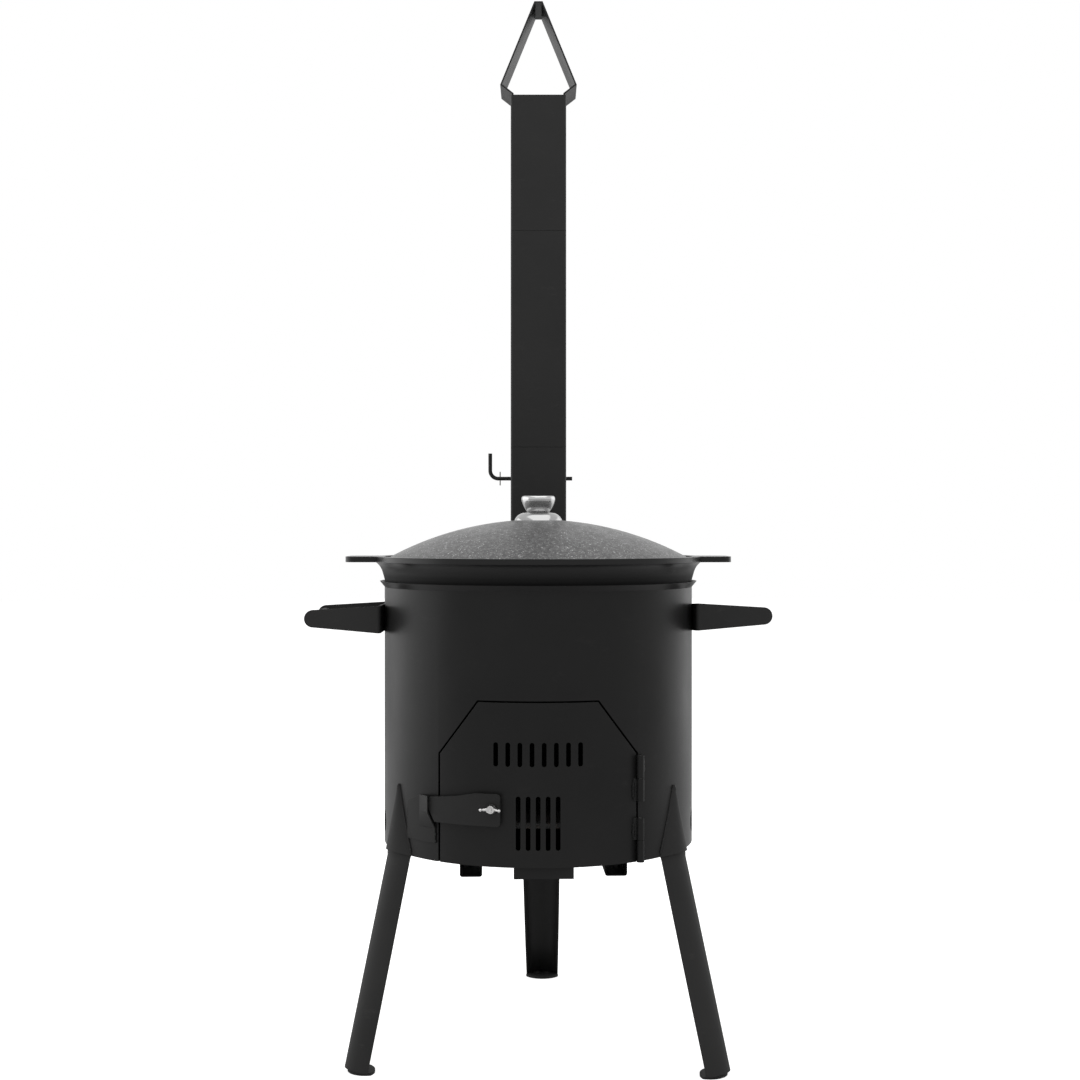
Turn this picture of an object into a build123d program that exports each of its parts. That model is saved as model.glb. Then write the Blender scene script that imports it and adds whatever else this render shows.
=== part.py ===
from build123d import *
import os
from math import asin, cos, degrees, radians, sin, sqrt

# Cauldron stove: a steel drum on three splayed legs, with a fire door, a rear chimney and a lift-out
# cauldron. Millimetres, +Z up, the door faces -Y. The origin lies on the floor, midway between the
# front-most and rear-most points. Bearings are degrees round the drum from the door, plus to the right.

# Fits shared by the pieces
fit = 0.3                   # gap between pieces that meet on curved faces
shaft_clearance = 0.05      # round a pin or a screw, on the radius
overrun = 5                 # how far a cut runs past what it cuts

# Drum
floor_gap = 238             # floor to the drum's lower edge
drum_height = 302
drum_r = 180
sheet = 2
flare_reach = 5.5
flare_height = 6.6
drum_top = floor_gap + drum_height
drum_bore_r = drum_r - sheet

# Air and smoke openings in the drum
air_hole_r = 13
air_hole_angle = 81
air_hole_rise = 25
smoke_width = 53
smoke_height = 87
smoke_rise = 217

# Door, cut out of the drum's own wall
door_half_width = 106.8
door_top_half_width = 64.5
door_side_height = 118
door_height = 176.5
door_corner_r = 6
door_gap = 1.9
slot_width = 5
upper_slot_height = 26
upper_slot_pitch = 13
upper_slot_count = 8
upper_slot_rise = 121
lower_slot_height = 58
lower_slot_pitch = 10.7
lower_slot_count = 5
lower_slot_rise = 47.5
door_edge_angle = degrees(asin(door_half_width / drum_r))

# Bottom plate, its front tongue and the tube stubs under it
plate_turn = 2              # the plate was welded in slightly turned to the right
tongue_half_width = 32.3
tongue_drop = 12.7
stub_width = 25
stub_wall = 2
stub_length = 80
stub_corner_r = 3
stub_reach = 102
stub_offset = 81
stub_shift = 2.5             # of the pair to the right

# Fire grate and its rests
grate_gap = 10              # round the grate, inside the drum
grate_thickness = 6
grate_rise = 40
grate_slot_width = 8
grate_slot_pitch = 19
grate_slot_rows = 7
grate_border = 16
grate_edge_r = 1
rest_angles = (60, 130, -130, -60)
rest_width = 22
rest_depth = 18
rest_thickness = 4
grate_r = drum_bore_r - grate_gap

# Hinges
hinge_offset = 1.78         # of the hinge line from the door's edge
barrel_r = 4.2
pin_r = 2.2
knuckle_gap = 0.4
hinge_rises = (fit, 66.5)
hinge_heights = (47.9, 49.7)
hinge_fixed_low = (True, False)
weld_reach = 6.5
weld_rise = 2.6
weld_start = 2.4
hinge_r = drum_r + fit + barrel_r
hinge_angle = degrees(asin((door_half_width + hinge_offset) / drum_r))

# Catch plate for the latch bar
catch_sheet = 2
catch_low_turn = 1.9        # bearings of the catch's corners, past the door's edge
catch_lip_turn = 3
catch_bend_turn = 9.6
catch_left_turn = 16.6
catch_foot_rise = 20
catch_step_rise = 36
catch_shoulder_rise = 54
catch_height = 71.6
catch_bend_height = 70.5
catch_left_height = 61.5
catch_lip_reach = 8.5
catch_low_angle = -door_edge_angle - catch_low_turn
catch_lip_angle = -door_edge_angle - catch_lip_turn
catch_bend_angle = -door_edge_angle - catch_bend_turn
catch_left_angle = -door_edge_angle - catch_left_turn

# Latch
latch_angle = -15.5
latch_rise = 63.8
bolt_r = 3
bolt_head_r = 6.5
bolt_head_thickness = 2.4
bolt_hole_r = 3.2
spacer_across_flats = 10
spacer_height = 4.3
bar_standoff = 5
bar_sheet = 2
bar_tail = 9.4
bar_tip_turn = 0.3          # how far the bar's tip lies behind the catch's lip
bar_root_up = 15.6
bar_root_down = 19.4
bar_tip_up = 6.9
bar_tip_down = 6.9
bar_shoulder = 43
bar_shoulder_up = 10.9
bar_neck = 18
bar_cut_in = 7.7
bar_corner_r = 4
washer_r = 5.6
washer_thickness = 1.4
wing_hub_r = 5
wing_hub_taper = 8
wing_hub_height = 6.5
wing_half_span = 11.3
wing_rise = 4.5
wing_thickness = 3.4
latch_z = floor_gap + latch_rise
bar_inner_r = drum_r + bar_standoff
bar_outer_r = bar_inner_r + bar_sheet
bar_tip = bar_outer_r * sin(radians(latch_angle - catch_lip_angle + bar_tip_turn))
washer_seat_r = bar_outer_r + fit
wing_seat_r = washer_seat_r + washer_thickness + fit
wing_tip_r = wing_seat_r + wing_hub_height + wing_rise
bolt_tip_r = wing_seat_r + wing_hub_height + sheet

# Legs, their sockets and feet
left_leg_gap = 22           # from the catch's left edge, along the wall
right_leg_gap = 61.3        # from the hinge line
rear_leg_angle = 179
left_foot_reach = 48        # how far a leg's foot stands out past the drum's wall
right_foot_reach = 52
rear_foot_reach = 97
leg_sheet = 2
leg_mouth_r = 29.6
leg_mouth_depth = 11.7
leg_foot_r = 21.5
leg_foot_depth = 17
leg_mouth_inset = 1.7
leg_end_flat = 6
leg_kink_drop = 4
tongue_height = 47
socket_height = 75
socket_foot_lift = 3.5      # of the socket's lower edge at its crest
foot_sheet = 3
foot_toe = 16
foot_toe_r = 24
foot_heel_insets = {"left": 4, "right": 4, "rear": 1}
socket_reach = drum_r + leg_mouth_depth + leg_sheet + fit
leg_angles = {
    "left": catch_left_angle - degrees(asin(left_leg_gap / drum_r)),
    "right": hinge_angle + degrees(asin(right_leg_gap / drum_r)),
    "rear": rear_leg_angle,
}
leg_edge_r = {
    "left": drum_r + left_foot_reach,
    "right": drum_r + right_foot_reach,
    "rear": drum_r + rear_foot_reach,
}

# Handles
handle_drop = 43            # below the drum's top
handle_half_depth = 62
handle_projection = 87
handle_sheet = 3
handle_root_half_height = 15.5
handle_tip_r = 9.9
handle_tip_lift = 1.2
handle_turns = {"left": 0, "right": -3}  # the right bracket was welded on slightly tilted
handle_bend_r = 4
grip_r = 7
handle_z = drum_top - handle_drop
handle_reach = drum_r + handle_projection

# Cauldron
pot_rim_overhang = 11.5     # past the drum's wall
pot_rim_rise = 28.6
pot_rim_edge = 6
pot_rim_width = 11.5
pot_wall = 4
pot_waist_gap = 6           # between the pot's waist and the drum's inside
pot_waist_drop = 70
pot_bottom_r = 92
pot_ledge_depth = 3.7
pot_throat_gap = 2.6         # from the drum's wall out to the pot where its rim starts to curl
pot_throat_drop = 17.6
lug_projection = 44         # past the drum's wall
lug_half_width = 38
lug_thickness = 6.5
lug_corner_r = 14
pot_rim_r = drum_r + pot_rim_overhang
pot_ledge_r = pot_rim_r - pot_rim_width
pot_neck_r = drum_bore_r - fit
pot_waist_r = drum_bore_r - pot_waist_gap
lug_reach = drum_r + lug_projection

# Lid and its knob
lid_dome_r = 367.5
lid_thickness = 2.5
lid_gap = 0.7
flange_r = 28
flange_top_r = 15
flange_height = 8.5
flange_sagitta = 2.4
knob_r = 20
knob_foot_r = 15.4
knob_side_sagitta = 1.1
knob_neck_r = 12
knob_neck_height = 2
knob_height = 21
knob_edge_drop = 6.5
knob_dish_r = 11
knob_dish_depth = 1.2
knob_screw_r = 3
knob_screw_head_r = 6
knob_screw_head_height = 3
knob_screw_depth = 14

# Chimney
duct_width = 72
duct_wall = 1.5
duct_corner_r = 4
duct_standoff = 16          # between the drum's wall and the duct
duct_rise = 92
duct_height = 376
middle_height = 280
top_height = 176
seam_gap = 0.3
sleeve_wall = 1.5
sleeve_plug = 40
sleeve_seat = 7
slip_clearance = 0.3
duct_reach = drum_r + duct_standoff

# Rain cap
cap_sheet = 2
cap_bend_reach = 49.2
cap_bend_rise = 13.6
cap_top_half_width = 4
cap_rise = 121
cap_tab = 20
cap_tab_half_width = 24

# Damper
rod_r = 2.5
rod_drop = 39.6             # below the duct's top
rod_tail = 44.3
rod_elbow = 63.5
rod_bend_r = 10.5
rod_handle = 33
blade_half_width = 33
blade_half_height = 31
blade_sheet = 1.5
cotter_r = 0.8
cotter_reach = 50.5
cotter_half_length = 9

# Place of the drum's axis: the whole stove is centred on the origin front to back
front_reach = wing_tip_r * cos(radians(latch_angle)) - wing_half_span * sin(radians(latch_angle))
rear_reach = leg_edge_r["rear"] + leg_foot_depth
drum_y = (front_reach - rear_reach) / 2
pot_rim_z = drum_top + pot_rim_rise
duct_half = duct_width / 2
duct_axis = duct_reach + duct_half
duct_z = floor_gap + duct_rise
middle_z = duct_z + duct_height + seam_gap
top_z = middle_z + middle_height + seam_gap
chimney_top_z = top_z + top_height


def outward(angle):
    """Unit vector that points away from the drum's axis at a bearing."""
    return Vector(sin(radians(angle)), -cos(radians(angle)), 0)


def level(height):
    """Level plane at a height, centred on the drum's axis."""
    return Plane((0, drum_y, height))


def level_out(angle, reach, height):
    """Level plane out at a bearing: local X points outwards, local Y round to the right."""
    return Plane(Vector(0, drum_y, height) + outward(angle) * reach, x_dir=outward(angle), z_dir=(0, 0, 1))


def facing(angle, reach, height):
    """Upright plane that faces outwards at a bearing: local X runs to the right, local Y up."""
    return Plane(
        Vector(0, drum_y, height) + outward(angle) * reach,
        x_dir=outward(angle + 90),
        z_dir=outward(angle),
    )


def profile(height):
    """Upright plane through the drum's axis: local X is the radius, local Y the rise from a height."""
    return Plane((0, drum_y, height), x_dir=(1, 0, 0), z_dir=(0, -1, 0))


drum_axis = Axis((0, drum_y, 0), (0, 0, 1))


def ring(outer_r, inner_r, height):
    """Ring on a level plane, round the drum's axis."""
    with BuildSketch(level(height)) as band:
        Circle(outer_r)
        Circle(inner_r, mode=Mode.SUBTRACT)
    return band.sketch


def square_ring(outer, wall, corner_r, plane):
    """Section of a square tube."""
    with BuildSketch(plane) as band:
        RectangleRounded(outer, outer, corner_r)
        inner = outer - 2 * wall
        RectangleRounded(inner, inner, corner_r - wall, mode=Mode.SUBTRACT)
    return band.sketch


def door_outline(grow):
    """Outline of the door seen from the front, grown by a gap at its sides and top."""
    with BuildSketch(facing(0, 0, floor_gap)) as outline:
        with BuildLine():
            Polyline(
                (-door_half_width, -overrun),
                (-door_half_width, door_side_height),
                (-door_top_half_width, door_height),
                (door_top_half_width, door_height),
                (door_half_width, door_side_height),
                (door_half_width, -overrun),
                close=True,
            )
        make_face()
        fillet(outline.vertices().group_by(Axis.Z)[1:], door_corner_r)
        if grow:
            offset(amount=grow)
    return outline.sketch


# Drum: rolled wall with a flared mouth, the door notch, air holes and a smoke hole
with BuildPart() as drum:
    extrude(ring(drum_r, drum_bore_r, floor_gap), amount=drum_height - flare_height)
    with BuildSketch(profile(drum_top - flare_height)):
        with BuildLine():
            Polyline(
                (drum_bore_r, 0),
                (drum_r, 0),
                (drum_r + flare_reach, flare_height),
                (drum_bore_r + flare_reach, flare_height),
                close=True,
            )
        make_face()
    revolve(axis=drum_axis)
    extrude(door_outline(door_gap), amount=drum_r + overrun, mode=Mode.SUBTRACT)
    for angle in (-air_hole_angle, air_hole_angle):
        with BuildSketch(facing(angle, drum_r - 2 * overrun, floor_gap + air_hole_rise)):
            Circle(air_hole_r)
        extrude(amount=3 * overrun, mode=Mode.SUBTRACT)
    with BuildSketch(facing(180, drum_r - 2 * overrun, floor_gap + smoke_rise)):
        Rectangle(smoke_width, smoke_height)
    extrude(amount=3 * overrun, mode=Mode.SUBTRACT)
drum.part.label = "drum"

# Bottom plate: a disc inside the drum with a tongue bent down below the door
plate_r = drum_bore_r - fit
tongue_reach = sqrt(plate_r**2 - tongue_half_width**2)
with BuildPart() as bottom_plate:
    with BuildSketch(level(floor_gap)):
        Circle(plate_r)
    extrude(amount=sheet)
    with BuildSketch(level_out(plate_turn, tongue_reach - sheet / 2, floor_gap - tongue_drop)):
        Rectangle(sheet, 2 * tongue_half_width)
    extrude(amount=tongue_drop)
bottom_plate.part.label = "bottom_plate"

# Square tube stubs under the bottom plate
with BuildPart() as bottom_stubs:
    stub_front = facing(plate_turn, stub_reach, floor_gap - stub_width / 2)
    for side in (-1, 1):
        stub_plane = Plane(
            stub_front.from_local_coords((side * stub_offset + stub_shift, 0, 0)),
            x_dir=stub_front.x_dir,
            z_dir=stub_front.z_dir,
        )
        extrude(square_ring(stub_width, stub_wall, stub_corner_r, stub_plane), amount=-stub_length)
bottom_stubs.part.label = "bottom_stubs"

# Rests for the grate, welded to the drum's wall
grate_z = floor_gap + grate_rise
with BuildPart() as grate_rests:
    for angle in rest_angles:
        with BuildSketch(level_out(angle, drum_bore_r, grate_z - rest_thickness)):
            Rectangle(2 * rest_depth, rest_width)
        extrude(amount=rest_thickness)
    with BuildSketch(level(grate_z - rest_thickness)):
        Circle(drum_bore_r)
    extrude(amount=rest_thickness, mode=Mode.INTERSECT)
grate_rests.part.label = "grate_rests"

# Fire grate: a round plate with rows of slots
with BuildPart() as fire_grate:
    with BuildSketch(level(grate_z)):
        Circle(grate_r)
        for row in range(grate_slot_rows):
            across = (row - (grate_slot_rows - 1) / 2) * grate_slot_pitch
            half_length = sqrt((grate_r - grate_border) ** 2 - across**2) / 2 - grate_border / 2
            for side in (-1, 1):
                with Locations((across, side * (half_length / 2 + grate_border / 2))):
                    SlotOverall(half_length, grate_slot_width, rotation=90, mode=Mode.SUBTRACT)
    extrude(amount=grate_thickness)
    fillet(fire_grate.edges().filter_by(GeomType.CIRCLE).sort_by(SortBy.RADIUS)[-2:], grate_edge_r)
fire_grate.part.label = "fire_grate"

# Door panel with plain air slots
with BuildPart() as door_panel:
    extrude(ring(drum_r, drum_bore_r, floor_gap), amount=door_height)
    extrude(door_outline(0), amount=drum_r + overrun, mode=Mode.INTERSECT)
    with BuildSketch(facing(0, 0, floor_gap + upper_slot_rise)):
        with GridLocations(upper_slot_pitch, 0, upper_slot_count, 1):
            SlotOverall(upper_slot_height, slot_width, rotation=90)
    extrude(amount=drum_r + overrun, mode=Mode.SUBTRACT)
    with BuildSketch(facing(0, 0, floor_gap + lower_slot_rise)):
        with GridLocations(lower_slot_pitch, 0, lower_slot_count, 1):
            SlotOverall(lower_slot_height, slot_width, rotation=90)
    extrude(amount=drum_r + overrun, mode=Mode.SUBTRACT)
    with Locations(facing(latch_angle, drum_r + sheet, latch_z)):
        Hole(bolt_hole_r, depth=2 * sheet + overrun)
door_panel.part.label = "door_panel"


def knuckle_weld(side, height):
    """Section of the weld between a hinge barrel and the sheet it stands on."""
    with BuildSketch(level_out(hinge_angle, hinge_r, height)) as weld:
        with BuildLine():
            Polyline(
                (-barrel_r - sheet, side * weld_start),
                (-barrel_r - sheet, side * weld_reach),
                (-barrel_r, side * weld_reach),
                (-weld_rise, side * barrel_r),
                (-barrel_r / 2, side * weld_start),
                close=True,
            )
        make_face()
    return weld.sketch


def hinge_span(foot, height, low):
    """Lower end and length of one knuckle: the low or the high half of a hinge."""
    length = (height - knuckle_gap) / 2
    return (foot, length) if low else (foot + height - length, length)


def knuckles(side, lows):
    """One knuckle of each hinge, welded to the sheet on one side of the hinge line."""
    with BuildPart() as group:
        for rise, height, low in zip(hinge_rises, hinge_heights, lows):
            start, length = hinge_span(floor_gap + rise, height, low)
            with BuildSketch(level_out(hinge_angle, hinge_r, start)):
                Circle(barrel_r)
            extrude(amount=length)
            extrude(knuckle_weld(side, start), amount=length)
            extrude(ring(drum_r, drum_r / 2, start), amount=length, mode=Mode.SUBTRACT)
            with BuildSketch(level_out(hinge_angle, hinge_r, start)):
                Circle(pin_r + shaft_clearance)
            extrude(amount=length, mode=Mode.SUBTRACT)
    return group


# Hinge knuckles: the outer ones on the drum, the inner ones on the door
drum_knuckles = knuckles(1, hinge_fixed_low)
drum_knuckles.part.label = "drum_knuckles"
door_knuckles = knuckles(-1, [not low for low in hinge_fixed_low])
door_knuckles.part.label = "door_knuckles"

# Hinge pins
with BuildPart() as hinge_pins:
    for rise, height in zip(hinge_rises, hinge_heights):
        with BuildSketch(level_out(hinge_angle, hinge_r, floor_gap + rise)):
            Circle(pin_r)
        extrude(amount=height)
hinge_pins.part.label = "hinge_pins"

# Latch bolt: its head inside the door, its shank out through the bar and the wing nut
with BuildPart() as latch_bolt:
    with BuildSketch(facing(latch_angle, drum_bore_r - fit, latch_z)):
        Circle(bolt_head_r)
    extrude(amount=-bolt_head_thickness)
    head_face = latch_bolt.faces().filter_by(GeomType.PLANE).sort_by(Axis.Y)[-1]
    fillet(head_face.edges(), bolt_head_thickness / 2)
    with BuildSketch(facing(latch_angle, drum_bore_r - fit, latch_z)):
        Circle(bolt_r)
    extrude(amount=bolt_tip_r - drum_bore_r + fit)
latch_bolt.part.label = "latch_bolt"

# Spacer nut between the door and the bar
with BuildPart() as latch_spacer:
    with BuildSketch(facing(latch_angle, drum_r + fit, latch_z)):
        RegularPolygon(spacer_across_flats / 2, 6, major_radius=False)
        Circle(bolt_r + shaft_clearance, mode=Mode.SUBTRACT)
    extrude(amount=spacer_height)
latch_spacer.part.label = "latch_spacer"

# Latch bar: a strip rolled to the drum's curve that swings up about the bolt
with BuildPart() as latch_bar:
    extrude(ring(bar_outer_r, bar_inner_r, latch_z - bar_root_down), amount=bar_root_down + bar_root_up)
    with BuildSketch(facing(latch_angle, 0, latch_z)) as bar_outline:
        with BuildLine():
            Polyline(
                (bar_tail, -bar_root_down),
                (bar_tail, bar_root_up),
                (-bar_neck, bar_root_up),
                (-bar_shoulder, bar_shoulder_up),
                (-bar_tip, bar_tip_up),
                (-bar_tip, -bar_tip_down),
                (bar_cut_in - bar_tip, -bar_root_down),
                close=True,
            )
        make_face()
        fillet(bar_outline.vertices().group_by(Axis.X)[-1], bar_corner_r)
        fillet(bar_outline.vertices().group_by(Axis.X)[0], bar_corner_r / 2)
    extrude(amount=bar_outer_r + overrun, mode=Mode.INTERSECT)
    with Locations(facing(latch_angle, bar_outer_r + sheet, latch_z)):
        Hole(bolt_r + shaft_clearance, depth=bar_sheet + overrun)
latch_bar.part.label = "latch_bar"

# Washer and wing nut
with BuildPart() as latch_washer:
    with BuildSketch(facing(latch_angle, washer_seat_r, latch_z)):
        Circle(washer_r)
        Circle(bolt_r + shaft_clearance, mode=Mode.SUBTRACT)
    extrude(amount=washer_thickness)
latch_washer.part.label = "latch_washer"

wing_upright = Plane(
    Vector(0, drum_y, latch_z) + outward(latch_angle) * wing_seat_r,
    x_dir=outward(latch_angle + 90),
    z_dir=(0, 0, -1),
)
with BuildPart() as wing_nut:
    with BuildSketch(facing(latch_angle, wing_seat_r, latch_z)):
        Circle(wing_hub_r)
    extrude(amount=wing_hub_height, taper=wing_hub_taper)
    with BuildSketch(wing_upright) as wings:
        with BuildLine():
            Polyline(
                (-wing_half_span, wing_hub_height + wing_rise),
                (-wing_hub_r - bolt_r, wing_hub_height + wing_rise),
                (-wing_hub_r / 2, wing_hub_height),
                (wing_hub_r / 2, wing_hub_height),
                (wing_hub_r + bolt_r, wing_hub_height + wing_rise),
                (wing_half_span, wing_hub_height + wing_rise),
                (wing_half_span, wing_hub_height),
                (wing_hub_r - sheet, sheet),
                (-wing_hub_r + sheet, sheet),
                (-wing_half_span, wing_hub_height),
                close=True,
            )
        make_face()
    extrude(amount=wing_thickness / 2, both=True)
    with Locations(facing(latch_angle, wing_tip_r, latch_z)):
        Hole(bolt_r + shaft_clearance)
wing_nut.part.label = "wing_nut"


def catch_section(height, lip_angle, lip_reach):
    """Plan section of the catch's lip at a height, from its bend to its free edge."""
    bend = [outward(catch_bend_angle) * r for r in (drum_r, drum_r + catch_sheet)]
    edge = [outward(lip_angle) * (r + lip_reach) for r in (drum_r + catch_sheet, drum_r)]
    with BuildSketch(level(height)) as section:
        with BuildLine():
            Polyline(*[(point.X, point.Y) for point in bend + edge], close=True)
        make_face()
    return section.sketch


def sector(start_angle, end_angle, height):
    """Part of a thin ring on the drum's outside, between two bearings."""
    corners = [outward(angle) * (2 * drum_r) for angle in (start_angle, end_angle)]
    with BuildSketch(level(height)) as part_ring:
        Circle(drum_r + catch_sheet)
        Circle(drum_r, mode=Mode.SUBTRACT)
        with BuildLine():
            Polyline((0, 0), *[(point.X, point.Y) for point in corners], close=True)
        make_face(mode=Mode.INTERSECT)
    return part_ring.sketch


# Catch plate: it hugs the drum, and its upper corner flares out so that the bar drops in behind it
catch_foot_z = floor_gap + catch_foot_rise
with BuildPart() as latch_catch:
    low_height = catch_step_rise - catch_foot_rise
    extrude(sector(catch_left_angle, catch_low_angle, catch_foot_z), amount=low_height)
    full_height = catch_height - catch_foot_rise
    extrude(sector(catch_left_angle, catch_bend_angle, catch_foot_z), amount=full_height)
    loft(
        [
            catch_section(floor_gap + catch_step_rise, catch_low_angle, 0),
            catch_section(floor_gap + catch_shoulder_rise, catch_lip_angle, catch_lip_reach),
        ],
        ruled=True,
    )
    loft(
        [
            catch_section(floor_gap + catch_shoulder_rise, catch_lip_angle, catch_lip_reach),
            catch_section(floor_gap + catch_height, catch_lip_angle, catch_lip_reach),
        ],
        ruled=True,
    )
    with BuildSketch(facing(catch_bend_angle, 0, floor_gap)):
        with BuildLine():
            lip_side = drum_r * sin(radians(catch_lip_angle - catch_bend_angle))
            left_side = drum_r * sin(radians(catch_left_angle - catch_bend_angle))
            Polyline(
                (left_side - overrun, catch_left_height),
                (left_side, catch_left_height),
                (0, catch_bend_height),
                (lip_side, catch_height),
                (lip_side, catch_height + overrun),
                (left_side - overrun, catch_height + overrun),
                close=True,
            )
        make_face()
    extrude(amount=drum_r + overrun, mode=Mode.SUBTRACT)
    extrude(ring(drum_r, drum_r / 2, catch_foot_z), amount=catch_height, mode=Mode.SUBTRACT)
latch_catch.part.label = "latch_catch"


def cone_section(angle, grow, rise):
    """Circle of the cone that a leg's tongue and its socket share, at a rise above the drum's edge."""
    share = 1 - rise / socket_height
    centre = drum_r + (leg_mouth_depth - leg_mouth_r) * share
    with BuildSketch(level_out(angle, centre, floor_gap + rise)) as section:
        Circle(leg_mouth_r * share + grow)
    return section.sketch


def leg_socket(angle):
    """Half-cone pocket on the drum's wall, open at its foot."""
    rim_rise = socket_height - 2 * overrun
    with BuildPart() as socket:
        for grow, top, mode in (
            (fit + leg_sheet, socket_height - fit, Mode.ADD),
            (fit, rim_rise, Mode.SUBTRACT),
        ):
            loft([cone_section(angle, grow, 0), cone_section(angle, grow, top)], mode=mode)
        with BuildSketch(level(floor_gap)):
            Circle(drum_r)
        extrude(amount=socket_height, mode=Mode.SUBTRACT)
        with BuildSketch(facing(angle + 90, 0, floor_gap)):
            with BuildLine():
                Polyline((-drum_r, 0), (-socket_reach, socket_foot_lift), (-socket_reach, 0), close=True)
            make_face()
        extrude(amount=socket_height, both=True, mode=Mode.SUBTRACT)
    return socket


def foot_section(angle, edge_r, grow):
    """Circle of a leg's gutter where it stands on its foot plate."""
    with BuildSketch(level_out(angle, edge_r + leg_foot_depth - leg_foot_r, foot_sheet)) as section:
        Circle(leg_foot_r + grow)
    return section.sketch


def mouth_section(angle, grow, height):
    """Circle of a leg's gutter at the drum's lower edge."""
    with BuildSketch(level_out(angle, drum_r + leg_mouth_depth - leg_mouth_r, height)) as section:
        Circle(leg_mouth_r + grow)
    return section.sketch


def leg_tongue(angle):
    """Upper end of a leg: a cone shell that nests in the socket and clears the drum."""
    with BuildPart() as tongue:
        loft([cone_section(angle, 0, 0), cone_section(angle, 0, tongue_height)])
        loft(
            [cone_section(angle, -leg_sheet, 0), cone_section(angle, -leg_sheet, tongue_height)],
            mode=Mode.SUBTRACT,
        )
        with BuildSketch(level(floor_gap)):
            Circle(drum_r + fit)
        extrude(amount=tongue_height, mode=Mode.SUBTRACT)
    return tongue


def leg(angle, edge_r, squared):
    """Gutter-shaped leg: upright in its socket, kinked below it and splayed to the floor."""
    tongue = leg_tongue(angle)
    kink_z = floor_gap - leg_kink_drop
    mouth_edge = Vector(0, drum_y, kink_z) + outward(angle) * (drum_r - leg_mouth_inset)
    foot_edge = Vector(0, drum_y, foot_sheet) + outward(angle) * edge_r
    along = mouth_edge - foot_edge
    cut = Plane(foot_edge, x_dir=outward(angle + 90), z_dir=outward(angle + 90).cross(along))
    with BuildPart() as gutter:
        for grow, mode in ((0, Mode.ADD), (-leg_sheet, Mode.SUBTRACT)):
            loft(
                [
                    foot_section(angle, edge_r, grow),
                    mouth_section(angle, grow, kink_z),
                    mouth_section(angle, grow, floor_gap),
                ],
                ruled=True,
                mode=mode,
            )
        split(bisect_by=cut, keep=Keep.TOP)
        if squared:
            split(bisect_by=Plane(foot_edge + outward(angle) * leg_end_flat, z_dir=along), keep=Keep.TOP)
        add(tongue.part)
    return gutter


def foot(angle, edge_r, heel_inset):
    """Foot plate: its toe points under the stove and its heel lies inside the gutter's curve."""
    with BuildPart() as plate:
        with BuildSketch(level_out(angle, edge_r, 0)):
            with Locations((foot_toe_r - foot_toe, 0)):
                Circle(foot_toe_r)
            with Locations((leg_foot_depth - leg_foot_r - heel_inset, 0)):
                Circle(leg_foot_r, mode=Mode.INTERSECT)
        extrude(amount=foot_sheet)
    return plate


# Legs with their sockets and feet
leg_pieces = {}
for place, angle in leg_angles.items():
    edge_r = leg_edge_r[place]
    leg_pieces[f"leg_socket_{place}"] = leg_socket(angle)
    leg_pieces[f"leg_{place}"] = leg(angle, edge_r, place != "rear")
    leg_pieces[f"foot_{place}"] = foot(angle, edge_r, foot_heel_insets[place])
for name, piece in leg_pieces.items():
    piece.part.label = name


def handle_plane(turn):
    """Upright plane through a handle's middle: local X runs out of the drum, local Y up."""
    return Plane(
        (0, drum_y, handle_z),
        x_dir=(1, 0, 0),
        z_dir=(0, -cos(radians(turn)), -sin(radians(turn))),
    )


def handle_bracket(side, turn):
    """Bent plate: a web against the drum and two tapered arms with rounded ends."""
    upright = handle_plane(turn)
    foot_plane = Plane(
        upright.from_local_coords((0, -handle_root_half_height, 0)),
        x_dir=upright.x_dir,
        z_dir=upright.y_dir,
    )
    with BuildPart() as bracket:
        with BuildSketch(upright):
            with Locations((side * (drum_r + handle_sheet / 2), 0)):
                Rectangle(handle_sheet, 2 * handle_root_half_height)
            with Locations((side * (handle_reach - handle_tip_r), handle_tip_lift)):
                Circle(handle_tip_r)
            make_hull()
        extrude(amount=handle_half_depth, both=True)
        with BuildSketch(foot_plane):
            with Locations((side * (drum_r + handle_sheet + handle_reach / 2), 0)):
                Rectangle(handle_reach, 2 * (handle_half_depth - handle_sheet))
        extrude(amount=2 * handle_root_half_height, mode=Mode.SUBTRACT)
        corners = bracket.edges().filter_by(Axis((0, 0, 0), upright.y_dir))
        fillet(corners.sort_by(lambda edge: abs(edge.center().X))[:2], handle_bend_r)
    return bracket


def handle_grip(side, turn):
    """Round bar between the arms of a handle."""
    with BuildPart() as grip:
        with BuildSketch(handle_plane(turn)):
            with Locations((side * (handle_reach - handle_tip_r), handle_tip_lift)):
                Circle(grip_r)
        extrude(amount=handle_half_depth - handle_sheet, both=True)
    return grip


# Side handles
handle_pieces = {}
for place, side in (("left", -1), ("right", 1)):
    handle_pieces[f"handle_bracket_{place}"] = handle_bracket(side, handle_turns[place])
    handle_pieces[f"handle_grip_{place}"] = handle_grip(side, handle_turns[place])
for name, piece in handle_pieces.items():
    piece.part.label = name

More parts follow.
